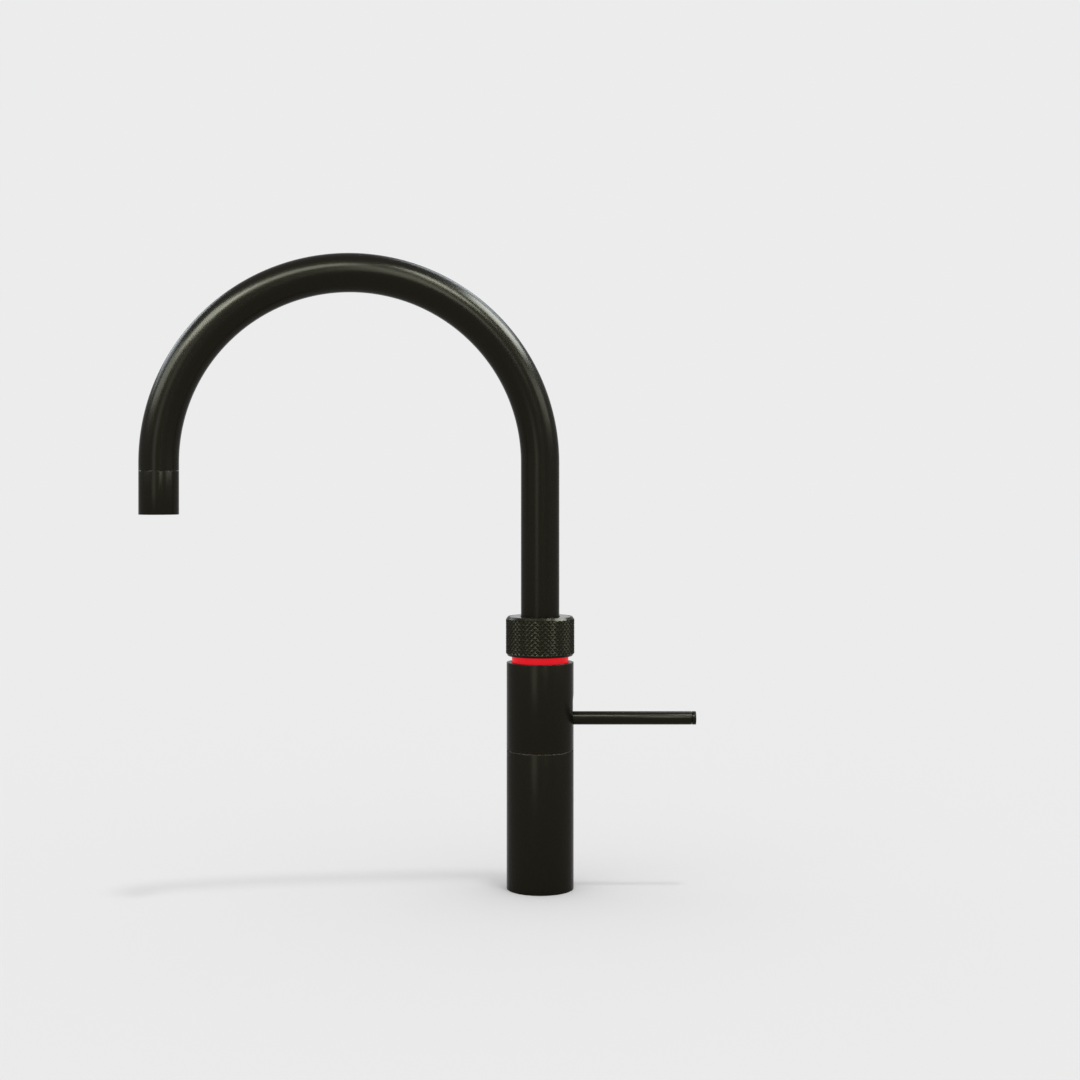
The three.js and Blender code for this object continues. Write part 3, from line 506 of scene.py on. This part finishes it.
def select_edges(piece, wanted):
    mesh = bmesh.from_edit_mesh(piece.data)
    bpy.ops.mesh.select_all(action="DESELECT")
    bpy.ops.mesh.select_mode(type="EDGE")
    for edge in mesh.edges:
        edge.select = wanted(edge)
    bmesh.update_edit_mesh(piece.data)


def is_upright(edge):
    return abs(edge.verts[0].co.z - edge.verts[1].co.z) > 1 * mm


def is_open(edge):
    return len(edge.link_faces) == 1


select_edges(knurl, is_upright)
bpy.ops.mesh.subdivide(number_cuts=knurl_high - 1)


# %% Poke, dissolve, poke again
def is_square_side(edge):
    one, two = (vertex.co for vertex in edge.verts)
    level = abs(one.z - two.z) < hair
    inside = band_foot + hair < (one.z + two.z) / 2 < band_top - hair
    upright = (one.xy - two.xy).length < hair
    return (level and inside) or upright


bpy.ops.mesh.select_mode(type="FACE")
bpy.ops.mesh.select_all(action="SELECT")
bpy.ops.mesh.poke()
select_edges(knurl, is_square_side)
bpy.ops.mesh.dissolve_edges(use_verts=False)
bpy.ops.mesh.select_mode(type="FACE")
bpy.ops.mesh.select_all(action="SELECT")
bpy.ops.mesh.poke(offset=knurl_depth)
print("faces of the knurl:", len(bmesh.from_edit_mesh(knurl.data).faces))

# %% [markdown]
# The ends of the band run into chamfers. The outer loops are extruded inwards and up, then the ring
# is closed over its bore, so that the whole grip is one solid.


# %% Chamfers, faces and bore of the ring
def select_loop(piece, height):
    """The open loop of edges at a height"""
    def is_on_loop(edge):
        return is_open(edge) and all(abs(vertex.co.z - height) < weld for vertex in edge.verts)
    select_edges(piece, is_on_loop)


def extrude_ring(rise, old_radius, new_radius):
    """Carry the selected loop up or down the axis and in or out from it"""
    bpy.ops.mesh.extrude_region_move(TRANSFORM_OT_translate={"value": (0, 0, rise)})
    share = new_radius / old_radius
    bpy.ops.transform.resize(value=(share, share, 1), center_override=(0, 0, 0))


web_thickness = 2.2 * mm
web_top = heights_of("ring_circlip")[0] - clearance
web_foot = web_top - web_thickness
neck_bore = 12.4 * mm
clip_room = 14.2 * mm
cap_seat = heights_of("knob_cap")[0] - clearance
cap_radius = radius_of("knob_cap")
top_steps = [
    (ring_top, ring_radius - ring_chamfer),
    (ring_top, cap_radius + clearance),
    (cap_seat, cap_radius + clearance),
    (cap_seat, clip_room),
    (web_top, clip_room),
    (web_top, neck_bore),
]
skirt_bore = lens_radius + 0.4 * mm
bottom_steps = [
    (ring_foot, ring_radius - ring_chamfer),
    (ring_foot, skirt_bore),
    (web_foot, skirt_bore),
    (web_foot, neck_bore),
]
for start, steps in ((band_top, top_steps), (band_foot, bottom_steps)):
    select_loop(knurl, start)
    height, radius = start, root_radius
    for next_height, next_radius in steps:
        extrude_ring(next_height - height, radius, next_radius)
        height, radius = next_height, next_radius
select_edges(knurl, is_open)
bpy.ops.mesh.bridge_edge_loops()
bpy.ops.mesh.select_all(action="SELECT")
bpy.ops.mesh.normals_make_consistent(inside=False)
finish_edit(knurl, smooth_angle=20)
stand_for(knurl, "knurled_ring", "boiling_ring", knurled_black)

cap_foot, cap_top = heights_of("knob_cap")
cap_play = 0.4 * mm
spout_radius = (outlet_high.x - outlet_low.x) / 2
cap = turned(
    "grip_cap",
    ring_section(spout_radius + cap_play, cap_radius, cap_foot, cap_top),
    rounding=0.2 * mm,
)
stand_for(cap, "knob_cap", "boiling_ring", cap_black)

# %% [markdown]
# Under the ring sits its return spring. It stands on the body and is fixed to it.

# %% Return spring
spring_low, spring_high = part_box("return_spring")
spring_wire = 0.5 * mm
spring_turns = 2.8
spring_length = spring_high.z - spring_low.z
coil_radius = (spring_high.x - spring_low.x) / 2 - spring_wire
bpy.ops.object.select_all(action="DESELECT")
bpy.ops.mesh.primitive_circle_add(
    vertices=16,
    radius=spring_wire,
    location=(coil_radius, 0, spring_low.z + spring_wire),
    rotation=(math.radians(90), 0, 0),
)
spring = bpy.context.object
spring.name = spring.data.name = "ring_spring"
bpy.ops.object.transform_apply(location=True, rotation=True, scale=True)
coil = spring.modifiers.new("coil", "SCREW")
coil.angle = spring_turns * math.tau
coil.screw_offset = spring_length - 2 * spring_wire
coil.steps = coil.render_steps = round(48 * spring_turns)
bpy.ops.object.modifier_apply(modifier=coil.name)
bpy.ops.object.mode_set(mode="EDIT")
select_edges(spring, is_open)
bpy.ops.mesh.edge_face_add()
bpy.ops.mesh.select_all(action="SELECT")
bpy.ops.mesh.normals_make_consistent(inside=False)
finish_edit(spring, smooth_angle=60)
stand_for(spring, "return_spring", "tap_body", steel)
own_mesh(spring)
print("spring", round(spring_length / mm, 2), "mm long")

# %% [markdown]
# ## Spout
# The spout is one tube bent over a former. A circle is extruded up the straight stretch, spun
# through half a turn about the arc's centre, and extruded down again, so the bend is a true arc.

# %% Bent tube
tube_foot, tube_crown = heights_of("spout_tube")
arc_radius = reach / 2
arc_centre_height = tube_crown - arc_radius - spout_radius
end_seam = 0.1 * mm
spout_wall = 1.2 * mm
tube_end = outlet_high.z + end_seam
across = Z.cross(towards_outlet)
bpy.ops.object.select_all(action="DESELECT")
bpy.ops.mesh.primitive_circle_add(
    vertices=96, radius=spout_radius, fill_type="NOTHING", location=(0, 0, tube_foot)
)
spout = bpy.context.object
spout.name = spout.data.name = "swan_neck"
bpy.ops.object.mode_set(mode="EDIT")
bpy.ops.mesh.select_all(action="SELECT")
bpy.ops.mesh.extrude_region_move(TRANSFORM_OT_translate={"value": (0, 0, arc_centre_height - tube_foot)})
arc_centre = towards_outlet * arc_radius + Z * arc_centre_height
bpy.ops.mesh.spin(steps=120, angle=-math.pi, center=arc_centre, axis=across)
bpy.ops.mesh.extrude_region_move(TRANSFORM_OT_translate={"value": (0, 0, tube_end - arc_centre_height)})
bpy.ops.mesh.select_all(action="SELECT")
bpy.ops.mesh.remove_doubles(threshold=weld)
bpy.ops.mesh.normals_make_consistent(inside=False)
finish_edit(spout)
print("top of the spout at", round(max(v.co.z for v in spout.data.vertices) / mm, 1), "mm")
tube_wall = spout.modifiers.new("wall", "SOLIDIFY")
tube_wall.thickness = spout_wall
tube_wall.offset = -1
bpy.ops.object.modifier_apply(modifier=tube_wall.name)
shade_again(spout)
stand_for(spout, "spout_tube", "spout", satin_black)

# %% [markdown]
# ## Outlet
# A sleeve screwed to the end of the spout holds the aerator. From below one sees a plate with a
# ring of spray holes for mixed water round the nozzle of the boiling water.

# %% Aerator sleeve
aerator_bore = spout_radius - spout_wall
lip_radius = aerator_bore - 1.2 * mm
lip = 0.8 * mm
sleeve_end = [
    (lip_radius, outlet_low.z),
    (spout_radius, outlet_low.z),
    (spout_radius, outlet_high.z),
    (aerator_bore, outlet_high.z),
    (aerator_bore, outlet_low.z + lip),
    (lip_radius, outlet_low.z + lip),
]
aerator = turned("aerator_collar", sleeve_end, foot=outlet, sides=96, rounding=0.15 * mm)
stand_for(aerator, "aerator_sleeve", "spout", satin_black)

# %% Spray plate
insert_foot, insert_top = heights_of("aerator_insert")
insert_radius = radius_of("aerator_insert")
nozzle_bore = 2 * mm
nozzle_lip, nozzle_root = nozzle_bore + 1.1 * mm, nozzle_bore + 1.5 * mm
rim_lip, rim_root = insert_radius - 0.4 * mm, insert_radius - 0.8 * mm
plate_face = insert_foot + 0.5 * mm
plate_back = insert_foot + 4.3 * mm
insert_bore = insert_radius - 1.2 * mm
plate_section = [
    (nozzle_bore, insert_foot),
    (nozzle_lip, insert_foot),
    (nozzle_root, plate_face),
    (rim_root, plate_face),
    (rim_lip, insert_foot),
    (insert_radius, insert_foot),
    (insert_radius, insert_top),
    (insert_bore, insert_top),
    (insert_bore, plate_back),
    (nozzle_bore, plate_back),
]
spray_plate = turned("spray_plate", plate_section, foot=outlet, sides=72, rounding=0.1 * mm)


def drill_ring(piece, count, circle, radius):
    """Drills through the plate: one bit is modelled, and its copies are joined to one cutter"""
    bits = []
    for i in range(count):
        angle = math.tau * i / count
        middle = outlet + Vector((circle * math.cos(angle), circle * math.sin(angle), insert_foot))
        if not bits:
            bpy.ops.object.select_all(action="DESELECT")
            bpy.ops.mesh.primitive_cylinder_add(
                vertices=16, radius=radius, depth=drill_length, location=middle
            )
            bits.append(bpy.context.object)
        else:
            bit = bits[0].copy()
            bit.data = bits[0].data.copy()
            bit.location = middle
            scene.collection.objects.link(bit)
            bits.append(bit)
    bpy.ops.object.select_all(action="DESELECT")
    for bit in bits:
        bit.select_set(True)
    bpy.context.view_layer.objects.active = bits[0]
    bpy.ops.object.join()
    bpy.ops.object.transform_apply(location=True, rotation=True, scale=True)
    cut_away(piece, bpy.context.object)


hole_radius = 0.55 * mm
drill_length = 20 * mm
for holes, circle_radius in ((12, 5.1 * mm), (18, 7.1 * mm)):
    drill_ring(spray_plate, holes, circle_radius, hole_radius)
shade_again(spray_plate)
stand_for(spray_plate, "aerator_insert", "spout", grey_polymer)

# %% [markdown]
# ## Fixing under the worktop
# The shank goes through the tap hole. A rubber gasket, a steel washer and a brass nut clamp the
# worktop from below. The shank's thread is a small ridge wound up it by a Screw modifier.

# %% Shank with its thread
shank_foot, shank_top = heights_of("mounting_shank")
shank_bore = 13 * mm
thread_depth = 0.8 * mm
pitch = 2 * mm
thread_top = -6 * mm
thread_runout = 1 * mm
flange_foot = floor_thickness + clearance
flange_top = flange_foot + 4 * mm
shank_section = [
    (shank_bore, shank_foot),
    (shank_radius - thread_depth, shank_foot),
    (shank_radius - thread_depth, thread_top),
    (shank_radius, thread_top + thread_runout),
    (shank_radius, flange_foot),
    (floor_bore, flange_foot),
    (floor_bore, flange_top),
    (shank_radius, flange_top),
    (shank_radius, shank_top),
    (shank_bore, shank_top),
]
shank = turned("threaded_shank", shank_section, rounding=0.15 * mm)
stand_for(shank, "mounting_shank", "tap_body", brass)

ridge_turns = 21
ridge_foot = shank_foot + 1.2 * mm
ridge_half = 0.9 * mm
ridge_root = shank_radius - thread_depth - 0.1 * mm
bpy.ops.object.select_all(action="DESELECT")
bpy.ops.mesh.primitive_circle_add(
    vertices=3,
    radius=ridge_half,
    location=(shank_radius - thread_depth + 0.35 * mm, 0, ridge_foot),
    rotation=(math.radians(90), 0, 0),
)
ridge = bpy.context.object
ridge.name = ridge.data.name = "shank_thread"
bpy.ops.object.mode_set(mode="EDIT")
bpy.ops.mesh.select_all(action="SELECT")
corners = [
    Vector((ridge_root, 0, ridge_foot - ridge_half)),
    Vector((ridge_root, 0, ridge_foot + ridge_half)),
    Vector((shank_radius, 0, ridge_foot)),
]
outline = bmesh.from_edit_mesh(ridge.data)
for vertex, corner in zip(outline.verts, corners):
    vertex.co = ridge.matrix_world.inverted() @ corner
bmesh.update_edit_mesh(ridge.data)
bpy.ops.object.mode_set(mode="OBJECT")
bpy.ops.object.transform_apply(location=True, rotation=True, scale=True)
winding = ridge.modifiers.new("winding", "SCREW")
winding.screw_offset = pitch
winding.iterations = ridge_turns
winding.steps = winding.render_steps = 48
winding.use_merge_vertices = True
bpy.ops.object.modifier_apply(modifier=winding.name)
bpy.ops.object.mode_set(mode="EDIT")
select_edges(ridge, is_open)
bpy.ops.mesh.edge_face_add()
bpy.ops.mesh.select_all(action="SELECT")
bpy.ops.mesh.normals_make_consistent(inside=False)
finish_edit(ridge, smooth_angle=20)
ridge.data.materials.append(brass)
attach(ridge, "tap_body")

# %% Gasket, washer and nut
clamp_bore = shank_radius + clearance
for node, name, finish in (
    ("clamp_gasket", "worktop_gasket", rubber),
    ("clamp_washer", "worktop_washer", steel),
):
    ring_part = turned(
        name,
        ring_section(clamp_bore, radius_of(node), *heights_of(node)),
        rounding=0.3 * mm,
    )
    stand_for(ring_part, node, "tap_body", finish)

# %% Nut
nut_low, nut_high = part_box("clamp_nut")
flat_radius, corner_radius = nut_high.x, nut_high.y
corner_drop = (corner_radius - flat_radius) * math.tan(math.radians(30))
nut_section = [
    (clamp_bore, nut_low.z),
    (flat_radius, nut_low.z),
    (corner_radius, nut_low.z + corner_drop),
    (corner_radius, nut_high.z - corner_drop),
    (flat_radius, nut_high.z),
    (clamp_bore, nut_high.z),
]
nut = turned("worktop_nut", nut_section)
bpy.ops.object.select_all(action="DESELECT")
bpy.ops.mesh.primitive_cylinder_add(
    vertices=6,
    radius=corner_radius,
    depth=nut_high.z - nut_low.z + 2 * mm,
    location=(0, 0, (nut_high.z + nut_low.z) / 2),
)
cut_away(nut, bpy.context.object, "INTERSECT")
soften(nut, 0.25 * mm, 25)
print("nut", round(2 * flat_radius / mm, 1), "mm across flats")
stand_for(nut, "clamp_nut", "tap_body", brass)

# %% [markdown]
# ## Floor, world and light
# The floor and the world have the same pale grey, so the horizon vanishes. A broad sun from almost
# straight above gives the faint shadow under the spout, and is kept out of the gloss. Softboxes are
# the other way round: only the gloss shows them. They draw the soft strips on the tubes and leave
# the floor as it is.

# %% Floor and world
backdrop = linear(236, 236, 236)
bpy.ops.object.select_all(action="DESELECT")
bpy.ops.mesh.primitive_plane_add(size=60)
floor = bpy.context.object
floor.name = "floor"
floor_finish = bpy.data.materials.new("floor")
floor_finish.use_nodes = True
floor_shader = floor_finish.node_tree.nodes["Principled BSDF"]
floor_shader.inputs["Base Color"].default_value = (*backdrop, 1)
floor_shader.inputs["Roughness"].default_value = 1.0
floor_shader.inputs["Specular IOR Level"].default_value = 0.0
floor.data.materials.append(floor_finish)

ambient = 0.88
world = bpy.data.worlds.new("studio")
scene.world = world
world.use_nodes = True
tree = world.node_tree
sky = tree.nodes["Background"]
sky.inputs["Color"].default_value = (1, 1, 1, 1)
sky.inputs["Strength"].default_value = ambient
shown = tree.nodes.new("ShaderNodeBackground")
shown.inputs["Color"].default_value = (*backdrop, 1)
paths = tree.nodes.new("ShaderNodeLightPath")
either = tree.nodes.new("ShaderNodeMath")
either.operation = "MAXIMUM"
either_more = tree.nodes.new("ShaderNodeMath")
either_more.operation = "MAXIMUM"
mix = tree.nodes.new("ShaderNodeMixShader")
tree.links.new(paths.outputs["Is Camera Ray"], either.inputs[0])
tree.links.new(paths.outputs["Is Glossy Ray"], either.inputs[1])
tree.links.new(either.outputs[0], either_more.inputs[0])
tree.links.new(paths.outputs["Is Transmission Ray"], either_more.inputs[1])
tree.links.new(either_more.outputs[0], mix.inputs["Fac"])
tree.links.new(sky.outputs[0], mix.inputs[1])
tree.links.new(shown.outputs[0], mix.inputs[2])
tree.links.new(mix.outputs[0], tree.nodes["World Output"].inputs["Surface"])

sun_data = bpy.data.lights.new("overhead", "SUN")
sun_data.energy = (1 - ambient) * math.pi
sun_data.angle = math.radians(5)
sun = bpy.data.objects.new("overhead", sun_data)
sun.rotation_euler = (math.radians(6.6), math.radians(4.6), 0)
sun.visible_glossy = False
scene.collection.objects.link(sun)


# %% Softboxes
tap_middle = Vector((-0.08, 0, 0.2))
panel_tint = (0.84, 0.93, 1.0)


def softbox(name, azimuth, elevation, size, glow, distance=2.5):
    """A panel seen in the gloss only, which faces the tap. Azimuth 0 is the camera's side, positive
    angles lie to the right, and a glow of 1 is as bright as white paper"""
    turn, lift = math.radians(azimuth), math.radians(elevation)
    width, height = (2 * distance * math.tan(math.radians(angle) / 2) for angle in size)
    data = bpy.data.lights.new(name, "AREA")
    data.shape = "RECTANGLE"
    data.size, data.size_y = width, height
    data.energy = glow * math.pi * width * height
    data.color = panel_tint
    panel = bpy.data.objects.new(name, data)
    way = Vector((math.sin(turn) * math.cos(lift), -math.cos(turn) * math.cos(lift), math.sin(lift)))
    panel.location = tap_middle + way * distance
    panel.rotation_euler = (-way).to_track_quat("-Z", "Y").to_euler()
    panel.visible_diffuse = False
    panel.visible_camera = False
    scene.collection.objects.link(panel)


softbox("front_bank_left", -43, 42.5, (28, 17), 42)
softbox("front_bank_right", -9, 46, (34, 14), 27)
softbox("left_low", -66, 28, (34, 20), 14.5)
softbox("right_window", 44.5, 47, (10, 24), 54)
softbox("back_right", 99, 43.5, (34, 21), 49)
softbox("far_right", 146, 43, (34, 24), 8)
softbox("back_left", -122, 28, (40, 16), 8.5)
softbox("left_strip", -18, 3, (16, 40), 3.2)
softbox("right_strip", 20, 24, (10, 26), 16)
softbox("right_low", 72, 18, (36, 12), 9.5)
